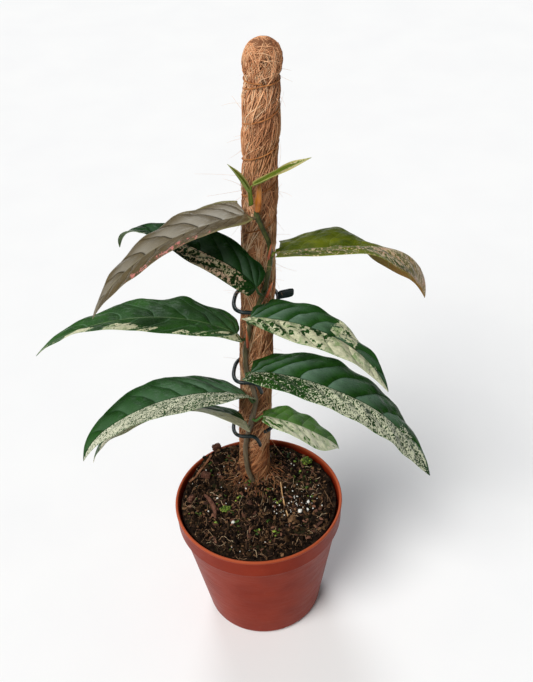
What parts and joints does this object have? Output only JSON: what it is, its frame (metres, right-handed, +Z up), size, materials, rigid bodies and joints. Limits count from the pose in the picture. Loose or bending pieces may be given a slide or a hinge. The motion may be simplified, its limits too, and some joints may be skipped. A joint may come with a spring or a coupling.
{
  "type": "potted trailing fig",
  "caption": "Variegated climbing fig with long pointed leaves, clipped to an upright coir pole in a round plastic nursery pot.",
  "frame": {"origin": "centre of the pot's flat underside, on the resting plane", "axes": "+Z up along the pot axis, +X towards the right-hand leaves, -Y towards the side the stem and clips face"},
  "size_m": [0.2501, 0.12, 0.435],
  "materials": {
    "pot_plastic": "semi-gloss terracotta-coloured plastic",
    "soil": "loose dark peat and bark",
    "coir": "matted coconut fibre",
    "thread": "thin brown binding thread",
    "clip_plastic": "satin dark green-black plastic",
    "stem": "green-brown bark",
    "leaf": "glossy green leaf with cream speckling",
    "young_leaf": "bronze leaf with silvery sheen",
    "fresh_leaf": "fresh light green leaf",
    "sheath": "dry orange-brown scale",
    "bark": "rough bark",
    "straw": "dry straw",
    "perlite": "pale porous grain",
    "moss": "green moss"
  },
  "bodies": {
    "root": {"pot": "pot_plastic", "soil": "soil", "coir_pole": "coir", "binding_thread": "thread", "main_stem": "stem", "clip_upper": "clip_plastic", "clip_middle": "clip_plastic", "clip_lower": "clip_plastic", "leaf_bronze_left": "young_leaf", "leaf_dark_left": "leaf", "leaf_upper_right": "leaf", "leaf_middle_left": "leaf", "leaf_middle_right": "leaf", "leaf_big_right": "leaf", "leaf_lower_left": "leaf", "leaf_back_left": "leaf", "leaf_small_right": "leaf", "young_leaf_left": "fresh_leaf", "young_leaf_right": "fresh_leaf", "bud_sheath": "sheath", "stipule_upper": "sheath", "stipule_middle": "sheath", "stipule_lower": "sheath", "twig": "bark", "straw": "straw", "bark_curl": "bark", "bark_back": "bark", "bark_left": "bark", "bark_rim": "bark", "perlite_front": "perlite", "perlite_right": "perlite", "perlite_far_right": "perlite", "pale_seed": "perlite", "moss_right": "moss", "moss_left": "moss"}
  },
  "joints": []
}
